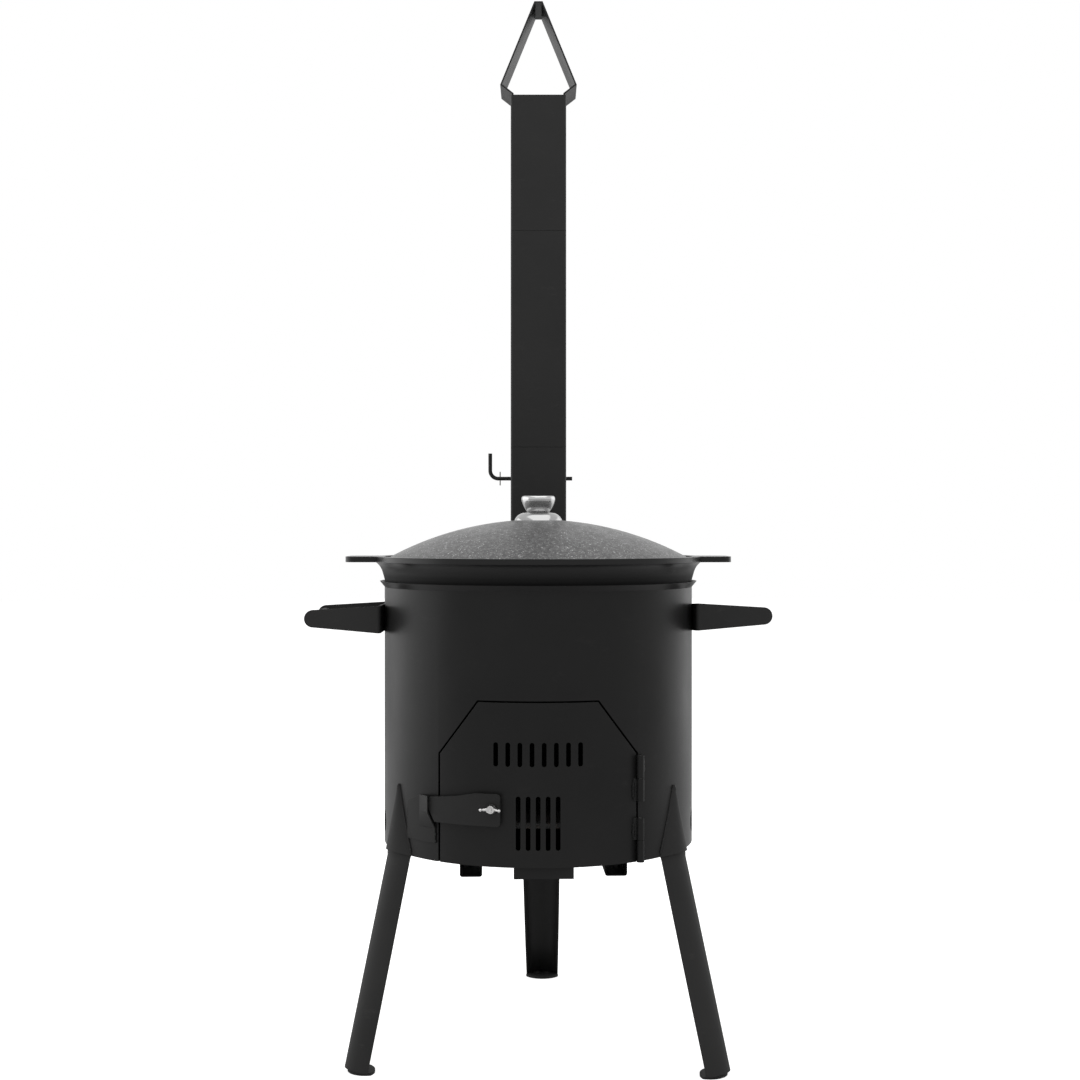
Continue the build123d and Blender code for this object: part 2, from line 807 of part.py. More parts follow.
# Cauldron: flared wall that hangs in the drum's mouth, a ledge for the lid and two flat lugs
neck_z = drum_top - flare_height - pot_rim_z
waist_z = -pot_rim_rise - pot_waist_drop
flat_r = pot_waist_r - pot_bottom_r
with BuildPart() as cauldron:
    with BuildSketch(profile(pot_rim_z)):
        with BuildLine():
            l1 = Line((0, waist_z - pot_bottom_r), (flat_r, waist_z - pot_bottom_r))
            l2 = CenterArc((flat_r, waist_z), pot_bottom_r, -90, 90)
            l3 = Line(l2 @ 1, (pot_neck_r, neck_z))
            l4 = Line(l3 @ 1, (drum_r + pot_throat_gap, -pot_throat_drop))
            l5 = TangentArc(l4 @ 1, (pot_rim_r, -pot_rim_edge), tangent=l4 % 1)
            Polyline(l5 @ 1, (pot_rim_r, 0), (0, 0), l1 @ 0)
        make_face()
    revolve(axis=drum_axis)
    with BuildSketch(level(pot_rim_z - lug_thickness)):
        RectangleRounded(2 * lug_reach, 2 * lug_half_width, lug_corner_r)
        Circle(pot_ledge_r, mode=Mode.SUBTRACT)
    extrude(amount=lug_thickness)
    inner_waist_r = pot_waist_r - pot_wall
    inner_bottom_r = pot_bottom_r - pot_wall
    inner_neck_r = pot_neck_r - pot_wall
    inner_flat_r = inner_waist_r - inner_bottom_r
    with BuildSketch(profile(pot_rim_z)):
        with BuildLine():
            m1 = Line((0, waist_z - inner_bottom_r), (inner_flat_r, waist_z - inner_bottom_r))
            m2 = CenterArc((inner_flat_r, waist_z), inner_bottom_r, -90, 90)
            m3 = Line(m2 @ 1, (inner_neck_r, neck_z))
            Polyline(
                m3 @ 1,
                (inner_neck_r, -pot_ledge_depth),
                (pot_ledge_r, -pot_ledge_depth),
                (pot_ledge_r, overrun),
                (0, overrun),
                m1 @ 0,
            )
        make_face()
    revolve(axis=drum_axis, mode=Mode.SUBTRACT)
    fillet(cauldron.edges().filter_by(Plane.XY).filter_by(GeomType.CIRCLE).sort_by(SortBy.RADIUS)[-2:], fit)
cauldron.part.label = "cauldron"

# Lid: a domed sheet whose edge lies on the cauldron's ledge
ledge_z = pot_rim_z - pot_ledge_depth
lid_r = pot_ledge_r - lid_gap
dome_centre_rise = -sqrt(lid_dome_r**2 - lid_r**2)
lid_inner_r = sqrt((lid_dome_r - lid_thickness) ** 2 - dome_centre_rise**2)
lid_top_z = ledge_z + lid_dome_r + dome_centre_rise
with BuildPart() as lid:
    with BuildSketch(profile(ledge_z)):
        with BuildLine():
            dome_top = (0, lid_dome_r + dome_centre_rise)
            dome_under = (0, lid_dome_r - lid_thickness + dome_centre_rise)
            n1 = RadiusArc((lid_r, 0), dome_top, -lid_dome_r)
            n2 = Line(n1 @ 1, dome_under)
            n3 = RadiusArc(n2 @ 1, (lid_inner_r, 0), lid_dome_r - lid_thickness)
            Line(n3 @ 1, (lid_r, 0))
        make_face()
    revolve(axis=drum_axis)
    with Locations(level(lid_top_z + overrun)):
        Hole(knob_screw_r + shaft_clearance, depth=2 * overrun + lid_thickness)
lid.part.label = "lid"

# Knob flange, knob and the screw that holds them
flange_foot = sqrt(lid_dome_r**2 - flange_r**2) - lid_dome_r
with BuildPart() as knob_flange:
    with BuildSketch(profile(lid_top_z)):
        with BuildLine():
            f1 = RadiusArc((0, 0), (flange_r, flange_foot), lid_dome_r)
            f2 = SagittaArc(f1 @ 1, (flange_top_r, flange_height), -flange_sagitta)
            Polyline(f2 @ 1, (0, flange_height), (0, 0))
        make_face()
    revolve(axis=drum_axis)
    with Locations(level(lid_top_z + flange_height)):
        Hole(knob_screw_r + shaft_clearance, depth=flange_height + overrun)
knob_flange.part.label = "knob_flange"

knob_z = lid_top_z + flange_height
with BuildPart() as knob:
    with BuildSketch(profile(knob_z)):
        with BuildLine():
            k1 = Polyline(
                (0, 0),
                (knob_neck_r, 0),
                (knob_neck_r, knob_neck_height),
                (knob_foot_r, knob_neck_height),
            )
            k2 = SagittaArc(k1 @ 1, (knob_r, knob_height - knob_edge_drop), knob_side_sagitta)
            k3 = Spline(
                k2 @ 1,
                (knob_dish_r, knob_height),
                (0, knob_height - knob_dish_depth),
                tangents=((0, 1), (-1, 0)),
            )
            Line(k3 @ 1, (0, 0))
        make_face()
    revolve(axis=drum_axis)
    with BuildSketch(level(knob_z)):
        Circle(knob_screw_r + shaft_clearance)
    extrude(amount=knob_screw_depth, mode=Mode.SUBTRACT)
knob.part.label = "knob"

screw_seat_z = lid_top_z - lid_thickness - fit
with BuildPart() as knob_screw:
    with BuildSketch(level(screw_seat_z)):
        Circle(knob_screw_head_r)
    extrude(amount=-knob_screw_head_height)
    fillet(knob_screw.faces().sort_by(Axis.Z)[0].edges(), knob_screw_head_height / 2)
    with BuildSketch(level(screw_seat_z)):
        Circle(knob_screw_r)
    extrude(amount=knob_z + knob_screw_depth - fit - screw_seat_z)
knob_screw.part.label = "knob_screw"


def chimney_plane(height):
    """Level plane on the chimney's centre line."""
    return Plane((0, drum_y + duct_axis, height))


def sleeve(height):
    """Inner sleeve: its foot fills the lower tube, and its top plugs into the next one."""
    bore = duct_width - 2 * duct_wall
    bore_corner_r = duct_corner_r - duct_wall
    plug = bore - 2 * slip_clearance
    with BuildPart() as liner:
        with BuildSketch(chimney_plane(height - sleeve_seat)):
            RectangleRounded(bore, bore, bore_corner_r)
        extrude(amount=sleeve_seat)
        with BuildSketch(chimney_plane(height)):
            RectangleRounded(plug, plug, bore_corner_r - slip_clearance)
        extrude(amount=sleeve_plug)
        hollow = plug - 2 * sleeve_wall
        with BuildSketch(chimney_plane(height - sleeve_seat)):
            Rectangle(hollow, hollow)
        extrude(amount=sleeve_seat + sleeve_plug, mode=Mode.SUBTRACT)
    return liner


# Smoke collar between the drum and the duct
smoke_z = floor_gap + smoke_rise
with BuildPart() as smoke_collar:
    with BuildSketch(facing(180, drum_r - 2 * overrun, smoke_z)):
        Rectangle(smoke_width + 2 * duct_wall, smoke_height + 2 * duct_wall)
        Rectangle(smoke_width, smoke_height, mode=Mode.SUBTRACT)
    extrude(amount=duct_reach - drum_r + 2 * overrun)
    with BuildSketch(level(smoke_z - smoke_height)):
        Circle(drum_r)
    extrude(amount=2 * smoke_height, mode=Mode.SUBTRACT)
smoke_collar.part.label = "smoke_collar"

# Flue duct behind the drum, with the smoke hole and the damper's bearing holes
rod_z = duct_z + duct_height - rod_drop
with BuildPart() as flue_duct:
    extrude(square_ring(duct_width, duct_wall, duct_corner_r, chimney_plane(duct_z)), amount=duct_height)
    with BuildSketch(facing(180, duct_reach - overrun, smoke_z)):
        Rectangle(smoke_width, smoke_height)
    extrude(amount=2 * overrun, mode=Mode.SUBTRACT)
    with BuildSketch(Plane((-duct_width, drum_y + duct_axis, rod_z), x_dir=(0, 1, 0), z_dir=(1, 0, 0))):
        Circle(rod_r + shaft_clearance)
    extrude(amount=2 * duct_width, mode=Mode.SUBTRACT)
flue_duct.part.label = "flue_duct"

# Floor of the duct
with BuildPart() as duct_floor:
    with BuildSketch(chimney_plane(duct_z - sheet)):
        RectangleRounded(duct_width, duct_width, duct_corner_r)
    extrude(amount=sheet)
duct_floor.part.label = "duct_floor"

# Chimney sections and their sleeves
duct_sleeve = sleeve(duct_z + duct_height)
duct_sleeve.part.label = "duct_sleeve"
with BuildPart() as chimney_middle:
    extrude(square_ring(duct_width, duct_wall, duct_corner_r, chimney_plane(middle_z)), amount=middle_height)
chimney_middle.part.label = "chimney_middle"
middle_sleeve = sleeve(middle_z + middle_height)
middle_sleeve.part.label = "middle_sleeve"
with BuildPart() as chimney_top:
    extrude(square_ring(duct_width, duct_wall, duct_corner_r, chimney_plane(top_z)), amount=top_height)
chimney_top.part.label = "chimney_top"

# Rain cap: one strip, bent over the chimney, with a tab inside each side wall
tab_outer = duct_half - duct_wall - slip_clearance
cap_front = Plane((0, drum_y + duct_reach, chimney_top_z), x_dir=(1, 0, 0), z_dir=(0, -1, 0))
cap_side_points = [
    (tab_outer - cap_sheet, -cap_tab),
    (tab_outer - cap_sheet, cap_sheet),
    (cap_bend_reach - cap_sheet, cap_bend_rise),
    (cap_top_half_width, cap_rise - cap_sheet),
]
with BuildPart() as rain_cap:
    with BuildSketch(cap_front):
        with BuildLine():
            strip = Polyline(*cap_side_points, *[(-x, y) for x, y in reversed(cap_side_points)])
            offset(strip, amount=cap_sheet, side=Side.RIGHT, kind=Kind.INTERSECTION)
        make_face()
    extrude(amount=-duct_width)
    with BuildSketch(chimney_plane(chimney_top_z - cap_tab)):
        Rectangle(duct_width, duct_width)
        Rectangle(duct_width, 2 * cap_tab_half_width, mode=Mode.SUBTRACT)
    extrude(amount=cap_tab, mode=Mode.SUBTRACT)
rain_cap.part.label = "rain_cap"

# Damper: rod with a bent handle, a blade behind it and a cotter pin outside the duct
with BuildPart() as damper_rod:
    with BuildLine(Plane((0, drum_y + duct_axis, rod_z), x_dir=(1, 0, 0), z_dir=(0, -1, 0))) as rod_path:
        FilletPolyline((rod_tail, 0), (-rod_elbow, 0), (-rod_elbow, rod_handle), radius=rod_bend_r)
    with BuildSketch(Plane((rod_tail, drum_y + duct_axis, rod_z), x_dir=(0, 1, 0), z_dir=(-1, 0, 0))):
        Circle(rod_r)
    sweep(path=rod_path.wires()[0])
    with Locations((-cotter_reach, drum_y + duct_axis, rod_z + 2 * rod_r)):
        Hole(cotter_r + shaft_clearance, depth=4 * rod_r)
damper_rod.part.label = "damper_rod"

with BuildPart() as damper_blade:
    with BuildSketch(Plane((0, drum_y + duct_axis + rod_r, rod_z), x_dir=(-1, 0, 0), z_dir=(0, 1, 0))):
        Rectangle(2 * blade_half_width, 2 * blade_half_height)
    extrude(amount=blade_sheet)
damper_blade.part.label = "damper_blade"

with BuildPart() as damper_cotter:
    with BuildSketch(Plane((-cotter_reach, drum_y + duct_axis, rod_z - cotter_half_length))):
        Circle(cotter_r)
    extrude(amount=2 * cotter_half_length)
damper_cotter.part.label = "damper_cotter"

# Write one STEP file for each piece
pieces = [
    drum, bottom_plate, bottom_stubs, grate_rests, fire_grate, door_panel, drum_knuckles, door_knuckles,
    hinge_pins, latch_bolt, latch_spacer, latch_bar, latch_washer, wing_nut, latch_catch, cauldron, lid,
    knob_flange, knob, knob_screw, smoke_collar, flue_duct, duct_floor, duct_sleeve, chimney_middle,
    middle_sleeve, chimney_top, rain_cap, damper_rod, damper_blade, damper_cotter,
    *leg_pieces.values(), *handle_pieces.values(),
]
os.makedirs("parts", exist_ok=True)
for piece in pieces:
    export_step(piece.part, f"parts/{piece.part.label}.step")
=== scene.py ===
import random
from math import atan2, cos, degrees, pi, radians, sin

import bmesh
import bpy
from mathutils import Matrix, Vector


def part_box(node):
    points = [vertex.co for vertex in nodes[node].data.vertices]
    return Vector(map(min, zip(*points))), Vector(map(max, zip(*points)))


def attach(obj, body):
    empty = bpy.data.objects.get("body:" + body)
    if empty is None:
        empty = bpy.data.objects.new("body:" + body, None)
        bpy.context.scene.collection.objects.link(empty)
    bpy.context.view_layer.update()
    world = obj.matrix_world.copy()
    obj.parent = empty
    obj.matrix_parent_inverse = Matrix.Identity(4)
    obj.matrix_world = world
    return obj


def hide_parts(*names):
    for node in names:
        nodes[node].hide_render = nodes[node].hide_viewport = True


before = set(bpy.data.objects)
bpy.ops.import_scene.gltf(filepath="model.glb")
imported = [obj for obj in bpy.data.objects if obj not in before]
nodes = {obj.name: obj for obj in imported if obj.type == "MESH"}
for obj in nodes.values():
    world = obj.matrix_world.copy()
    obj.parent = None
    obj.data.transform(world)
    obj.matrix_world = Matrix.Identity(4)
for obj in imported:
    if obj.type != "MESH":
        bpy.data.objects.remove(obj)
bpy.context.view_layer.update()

# Cauldron stove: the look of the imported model. Metres, the fire door faces -Y.
lid_low, lid_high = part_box("lid")
DRUM_Y = (lid_low.y + lid_high.y) / 2
DRUM_R = 0.180
DRUM_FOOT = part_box("drum")[0].z
POT_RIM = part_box("cauldron")[1].z

# Camera: the eye's place from the drum's axis, and the lens for the photograph's view
EYE_SIDE = 0.002
EYE_REACH = 1.957
EYE_HEIGHT = 0.6034
LENS_MM = 55.43
SENSOR_MM = 36
PICTURE_SHIFT = -0.0125
NEAR_CLIP = 0.05
FAR_CLIP = 50

# Light: the room's strength on the object and as seen, and the soft panels round it
ROOM_LIGHT = 0.55
ROOM_WHITE = 1.0
AIM_HEIGHT = 0.55
PANELS = (                  # name, place from the drum's axis, width, height, watts
    ("panel_left", (-2.3, 0.6, 0.9), 3.0, 2.0, 23),
    ("panel_right", (2.0, 1.4, 0.9), 2.0, 2.0, 10),
    ("panel_top", (0.2, -0.6, 2.6), 3.0, 3.0, 30),
)
FLOOR_R = 12
FLOOR_SIDES = 64
PAPER_WHITE = 0.9
PAPER_GLOW = 0.72           # for the camera alone, so that the floor shows white
WHITE = (1, 1, 1, 1)


def place_camera():
    lens = bpy.data.cameras.new("camera")
    lens.lens = LENS_MM
    lens.sensor_width = SENSOR_MM
    lens.shift_y = PICTURE_SHIFT
    lens.clip_start = NEAR_CLIP
    lens.clip_end = FAR_CLIP
    camera = bpy.data.objects.new("camera", lens)
    camera.location = (EYE_SIDE, DRUM_Y - EYE_REACH, EYE_HEIGHT)
    camera.rotation_euler = (radians(90), 0, 0)
    bpy.context.scene.collection.objects.link(camera)
    bpy.context.scene.camera = camera


def light_room():
    """White room: the camera and shiny metal see plain white, and the object gets softer light."""
    world = bpy.data.worlds.new("studio")
    bpy.context.scene.world = world
    world.use_nodes = True
    tree = world.node_tree
    tree.nodes.clear()
    path = tree.nodes.new("ShaderNodeLightPath")
    seen = path.outputs["Is Camera Ray"]
    for ray in ("Is Glossy Ray", "Is Transmission Ray"):
        either = tree.nodes.new("ShaderNodeMath")
        either.operation = "MAXIMUM"
        tree.links.new(seen, either.inputs[0])
        tree.links.new(path.outputs[ray], either.inputs[1])
        seen = either.outputs[0]
    choose = tree.nodes.new("ShaderNodeMixShader")
    tree.links.new(seen, choose.inputs["Fac"])
    for socket, strength in ((1, ROOM_LIGHT), (2, ROOM_WHITE)):
        light = tree.nodes.new("ShaderNodeBackground")
        light.inputs["Color"].default_value = WHITE
        light.inputs["Strength"].default_value = strength
        tree.links.new(light.outputs[0], choose.inputs[socket])
    out = tree.nodes.new("ShaderNodeOutputWorld")
    tree.links.new(choose.outputs[0], out.inputs["Surface"])


def hang_panels():
    """Soft lamps left and right behind the drum, and one above it."""
    aim = Vector((0, DRUM_Y, AIM_HEIGHT))
    for name, (x, y, z), width, height, watts in PANELS:
        lamp = bpy.data.lights.new(name, "AREA")
        lamp.shape = "RECTANGLE"
        lamp.size = width
        lamp.size_y = height
        lamp.energy = watts
        panel = bpy.data.objects.new(name, lamp)
        place = Vector((x, DRUM_Y + y, z))
        panel.location = place
        panel.rotation_euler = (aim - place).to_track_quat("-Z", "Y").to_euler()
        bpy.context.scene.collection.objects.link(panel)


def white_paper():
    """Matt white that also glows for the camera, so its shadow stays faint."""
    paper = bpy.data.materials.new("white_paper")
    paper.use_nodes = True
    tree = paper.node_tree
    tree.nodes.clear()
    path = tree.nodes.new("ShaderNodeLightPath")
    matt = tree.nodes.new("ShaderNodeBsdfDiffuse")
    matt.inputs["Color"].default_value = (PAPER_WHITE, PAPER_WHITE, PAPER_WHITE, 1)
    lift = tree.nodes.new("ShaderNodeEmission")
    lift.inputs["Color"].default_value = WHITE
    glow = tree.nodes.new("ShaderNodeMath")
    glow.operation = "MULTIPLY"
    glow.inputs[1].default_value = PAPER_GLOW
    tree.links.new(path.outputs["Is Camera Ray"], glow.inputs[0])
    tree.links.new(glow.outputs[0], lift.inputs["Strength"])
    both = tree.nodes.new("ShaderNodeAddShader")
    tree.links.new(matt.outputs[0], both.inputs[0])
    tree.links.new(lift.outputs[0], both.inputs[1])
    out = tree.nodes.new("ShaderNodeOutputMaterial")
    tree.links.new(both.outputs[0], out.inputs["Surface"])
    return paper


def lay_floor():
    shape = bmesh.new()
    bmesh.ops.create_circle(shape, cap_ends=True, segments=FLOOR_SIDES, radius=FLOOR_R)
    mesh = bpy.data.meshes.new("floor")
    shape.to_mesh(mesh)
    shape.free()
    mesh.materials.append(white_paper())
    floor = bpy.data.objects.new("floor", mesh)
    bpy.context.scene.collection.objects.link(floor)


# Finishes: a noise's scale is its lumps per metre, and a relief's depth is in metres
NOISE_USUAL = (0.3, 0.7)    # most of a noise lies between these


class Finish:
    """A material whose nodes are laid one by one, always on Object coordinates."""

    def __init__(self, name):
        self.material = bpy.data.materials.new(name)
        self.material.use_nodes = True
        self.tree = self.material.node_tree
        self.surface = self.tree.nodes["Principled BSDF"]
        self.place = self.tree.nodes.new("ShaderNodeTexCoord").outputs["Object"]

    def put(self, kind, **sockets):
        """A new node, with a number or another node's output on each named socket."""
        node = self.tree.nodes.new(kind)
        for name, value in sockets.items():
            self.feed(node.inputs[name.replace("_", " ")], value)
        return node

    def feed(self, socket, value):
        if isinstance(value, bpy.types.NodeSocket):
            self.tree.links.new(value, socket)
        else:
            socket.default_value = value

    def give(self, socket, value):
        """Feeds one of the surface's own sockets."""
        self.feed(self.surface.inputs[socket], value)

    def noise(self, scale, detail=3.0, roughness=0.55, stretch=None):
        where = self.place
        if stretch:
            where = self.put("ShaderNodeMapping", Vector=self.place, Scale=stretch).outputs[0]
        texture = self.put(
            "ShaderNodeTexNoise", Vector=where, Scale=scale, Detail=detail, Roughness=roughness
        )
        return texture.outputs["Fac"]

    def spread(self, value, low, high, to_low=0, to_high=1):
        """What the value gives between low and high, from one number to the other."""
        node = self.put("ShaderNodeMapRange", Value=value)
        ends = {"From Min": low, "From Max": high, "To Min": to_low, "To Max": to_high}
        for name, number in ends.items():
            node.inputs[name].default_value = number
        return node.outputs[0]

    def blend(self, share, first, second):
        node = self.tree.nodes.new("ShaderNodeMix")
        node.data_type = "RGBA"
        first_colour, second_colour = node.inputs[6], node.inputs[7]
        self.feed(node.inputs["Factor"], share)
        self.feed(first_colour, first)
        self.feed(second_colour, second)
        return node.outputs[2]

    def times(self, first, second):
        node = self.tree.nodes.new("ShaderNodeMath")
        node.operation = "MULTIPLY"
        self.feed(node.inputs[0], first)
        self.feed(node.inputs[1], second)
        return node.outputs[0]

    def relief(self, height, strength, depth, below=None):
        """Bump, laid over the one below where there is one."""
        node = self.put("ShaderNodeBump", Height=height, Strength=strength, Distance=depth)
        if below is not None:
            self.feed(node.inputs["Normal"], below)
        return node.outputs[0]


def grey(level, warm=0.0):
    return (level * (1 + warm), level, level * (1 - warm), 1)


def stove_paint(name, level=0.011, rough=0.36, shine=0.14):
    """Heat-proof black paint on sheet steel: fine spray grain, faint cloudiness and dusty scuffs."""
    coat = Finish(name)
    cloud = coat.noise(scale=7, detail=4)
    grain = coat.noise(scale=900, detail=2)
    wave = coat.noise(scale=22, detail=2)
    scuff = coat.noise(scale=38, detail=6, roughness=0.7, stretch=(1, 1, 2.5))
    dust = coat.spread(scuff, low=0.6, high=0.78, to_high=0.5)
    dark = grey(level * 0.86)
    pale = grey(level * 1.16, warm=0.01)
    dusty = grey(level * 1.8, warm=0.02)
    tone = coat.blend(coat.spread(cloud, *NOISE_USUAL), dark, pale)
    coat.give("Base Color", coat.blend(dust, tone, dusty))
    polish = coat.spread(cloud, *NOISE_USUAL, to_low=rough - 0.05, to_high=rough + 0.06)
    coat.give("Roughness", polish)
    coat.give("Specular IOR Level", shine)
    soft_edge = coat.put("ShaderNodeBevel", Radius=0.0008)
    soft_edge.samples = 4
    waves = coat.relief(wave, strength=0.16, depth=0.0012, below=soft_edge.outputs[0])
    coat.give("Normal", coat.relief(grain, strength=0.12, depth=0.0003, below=waves))
    return coat.material


# Flecks of the lid's enamel: scale, size as a share of their spacing, noise at which they show
LID_FLECKS = ((300.0, 0.3, 0.54), (560.0, 0.32, 0.49))
FLECK_CORE = 0.5            # share of a fleck that is fully pale
FLECK_PATCHES = 0.6         # of the flecks' own scale
PATCH_EDGE = 0.08


def speckled_enamel():
    """Grey granite-look enamel of the lid: mottled dark ground under pale flecks of two sizes."""
    coat = Finish("speckled_enamel")
    grit = coat.noise(scale=230, detail=5, roughness=0.75)
    cloud = coat.noise(scale=12)
    smear = coat.noise(scale=60)
    skin = coat.noise(scale=700, detail=2)
    dark_ground, pale_ground = grey(0.045), grey(0.06)
    stone_grey, fleck_grey = grey(0.15), grey(0.55)
    ground = coat.blend(cloud, dark_ground, pale_ground)
    stone = coat.blend(coat.spread(grit, low=0.44, high=0.66), ground, stone_grey)
    for scale, size, start in LID_FLECKS:
        cells = coat.put("ShaderNodeTexVoronoi", Vector=coat.place, Scale=scale, Randomness=1.0)
        distance = cells.outputs["Distance"]
        dots = coat.spread(distance, low=size * FLECK_CORE, high=size, to_low=1, to_high=0)
        patch = coat.noise(scale=scale * FLECK_PATCHES, detail=2)
        shown = coat.spread(patch, low=start, high=start + PATCH_EDGE)
        stone = coat.blend(coat.times(dots, shown), stone, fleck_grey)
    coat.give("Base Color", stone)
    coat.give("Roughness", coat.spread(smear, *NOISE_USUAL, to_low=0.34, to_high=0.44))
    coat.give("Specular IOR Level", 0.4)
    coat.give("Normal", coat.relief(skin, strength=0.12, depth=0.0002))
    return coat.material


# Painted shade on the cauldron, where the drum's lip hides its wall: where it starts and where it is
# full, below the rim
LIP_SHADE_START = 0.008
LIP_SHADE_FULL = 0.022


def cast_wall(name, level=0.009, rough=0.3, shine=0.22):
    """Coated cauldron wall with a slightly grainy skin, with painted shade below its rim, where it is
    also rougher.
    """
    coat = Finish(name)
    skin = coat.noise(scale=420, detail=4)
    cloud = coat.noise(scale=9)
    height = coat.put("ShaderNodeSeparateXYZ", Vector=coat.place).outputs["Z"]
    # Painted shade: darker and rougher towards the neck, where the drum's lip hides the wall
    lip_shade = coat.spread(height, low=POT_RIM - LIP_SHADE_START, high=POT_RIM - LIP_SHADE_FULL)
    dark, pale, shade_grey = grey(level * 0.8), grey(level * 1.25), grey(level * 0.2)
    coat.give("Base Color", coat.blend(lip_shade, coat.blend(cloud, dark, pale), shade_grey))
    coat.give("Roughness", coat.spread(lip_shade, low=0, high=1, to_low=rough, to_high=rough + 0.4))
    coat.give("Specular IOR Level", shine)
    coat.give("Normal", coat.relief(skin, strength=0.2, depth=0.0004))
    return coat.material


def polished_chrome(name, level):
    """Bright plated metal of the knob and its flange, with faint smears."""
    coat = Finish(name)
    smear = coat.noise(scale=60, stretch=(1, 1, 6))
    dull, bright = grey(level * 0.85), grey(level)
    coat.give("Metallic", 1.0)
    coat.give("Base Color", coat.blend(smear, dull, bright))
    coat.give("Roughness", coat.spread(smear, *NOISE_USUAL, to_low=0.1, to_high=0.22))
    return coat.material


def plated_steel(name, level=0.62, rough=0.32):
    """Fasteners and pins: pale and slightly cloudy."""
    coat = Finish(name)
    cloud = coat.noise(scale=300)
    dull, bright = grey(level * 0.8), grey(level, warm=0.02)
    coat.give("Metallic", 1.0)
    coat.give("Base Color", coat.blend(cloud, dull, bright))
    coat.give("Roughness", coat.spread(cloud, *NOISE_USUAL, to_low=rough - 0.08, to_high=rough + 0.1))
    coat.give("Normal", coat.relief(cloud, strength=0.15, depth=0.0002))
    return coat.material


def fire_iron():
    """Rough iron of the grate, with brown stains."""
    coat = Finish("fire_iron")
    rust = coat.noise(scale=90, detail=6, roughness=0.7)
    stain = coat.spread(rust, low=0.5, high=0.75, to_high=0.6)
    scale_black, rust_brown = grey(0.03), (0.09, 0.05, 0.03, 1)
    coat.give("Base Color", coat.blend(stain, scale_black, rust_brown))
    coat.give("Roughness", 0.75)
    coat.give("Normal", coat.relief(rust, strength=0.5, depth=0.0008))
    return coat.material


paint = stove_paint("stove_paint")
# Legs, feet and handles: rougher and less shiny than the drum's paint, and paler as painted light
# from the floor's bounce
lit_leg_paint = stove_paint("lit_leg_paint", level=0.027, rough=0.6, shine=0.1)
latch_paint = stove_paint("latch_paint", level=0.02, rough=0.55, shine=0.12)
flue_paint = stove_paint("flue_paint", level=0.019, rough=0.45, shine=0.16)
# Near black: painted shade on the stubs deep under the drum, and soot on the grate rests inside it
soot_and_shade_paint = stove_paint("soot_and_shade_paint", level=0.004, rough=0.7, shine=0.06)
cauldron_coat = cast_wall("cauldron_coat")
enamel = speckled_enamel()
knob_chrome = polished_chrome("knob_chrome", level=0.52)
flange_chrome = polished_chrome("flange_chrome", level=0.4)
zinc = plated_steel("zinc_plate")
pin_steel = plated_steel("pin_steel", level=0.3, rough=0.4)
iron = fire_iron()

# Which finish each piece gets, by the start of its name: the first that fits holds
FINISHES = (
    ("cauldron", cauldron_coat),
    ("lid", enamel),
    ("knob_screw", zinc),
    ("knob_flange", flange_chrome),
    ("knob", knob_chrome),
    ("wing_nut", zinc),
    ("latch_bolt", zinc),
    ("latch", latch_paint),
    ("hinge_pins", pin_steel),
    ("damper_cotter", pin_steel),
    ("fire_grate", iron),
    # Handles, front legs and feet get the paler copy with painted light; the rear leg keeps the
    # drum's paint
    ("handle", lit_leg_paint),
    ("leg_rear", paint),
    ("leg", lit_leg_paint),
    ("foot", lit_leg_paint),
    # Painted shade on the stubs under the drum; soot on the grate rests inside it
    ("bottom_stubs", soot_and_shade_paint),
    ("grate_rests", soot_and_shade_paint),
    ("chimney", flue_paint),
    ("flue", flue_paint),
    ("duct", flue_paint),
    ("middle", flue_paint),
    ("rain", flue_paint),
    ("damper", flue_paint),
    ("smoke", flue_paint),
    ("", paint),
)


def finish_for(name):
    return next(coat for start, coat in FINISHES if name.startswith(start))


def paint_nodes():
    for name, piece in nodes.items():
        piece.data.materials.clear()
        piece.data.materials.append(finish_for(name))


def hand_over(shape, name, body, replaced=()):
    """Makes a piece of a finished bmesh, smooth, painted and riding on its body."""
    bmesh.ops.recalc_face_normals(shape, faces=shape.faces)
    for face in shape.faces:
        face.smooth = True
    mesh = bpy.data.meshes.new(name)
    shape.to_mesh(mesh)
    shape.free()
    mesh.materials.append(finish_for(name))
    piece = bpy.data.objects.new(name, mesh)
    bpy.context.scene.collection.objects.link(piece)
    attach(piece, body)
    if replaced:
        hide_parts(*replaced)
    return piece


def stand(point, direction):
    """Places a shape made round Z at a point, with its Z along the direction."""
    return Matrix.Translation(point) @ direction.to_track_quat("Z", "Y").to_matrix().to_4x4()


def middle_and_outward(node):
    """A node's middle, and the level direction from the drum's axis to it."""
    low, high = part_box(node)
    middle = (low + high) / 2
    return middle, Vector((middle.x, middle.y - DRUM_Y, 0)).normalized()


# Lid knob, turned: a narrow foot, full sides and a shallow dish on top, as (radius, rise) in mm
KNOB_PROFILE = (
    (0, 0), (12.3, 0), (13.0, 0.5), (14.8, 3.0), (16.7, 6.1), (18.2, 9.4), (19.3, 12.5),
    (19.8, 15.2), (19.6, 17.4), (18.7, 18.9), (16.9, 19.5), (14.0, 19.1), (7.5, 18.2), (0, 17.9),
)
KNOB_STEPS = 64
KNOB_ROUNDING = 2
MERGE_GAP = 0.00002
MM_PER_METRE = 1000


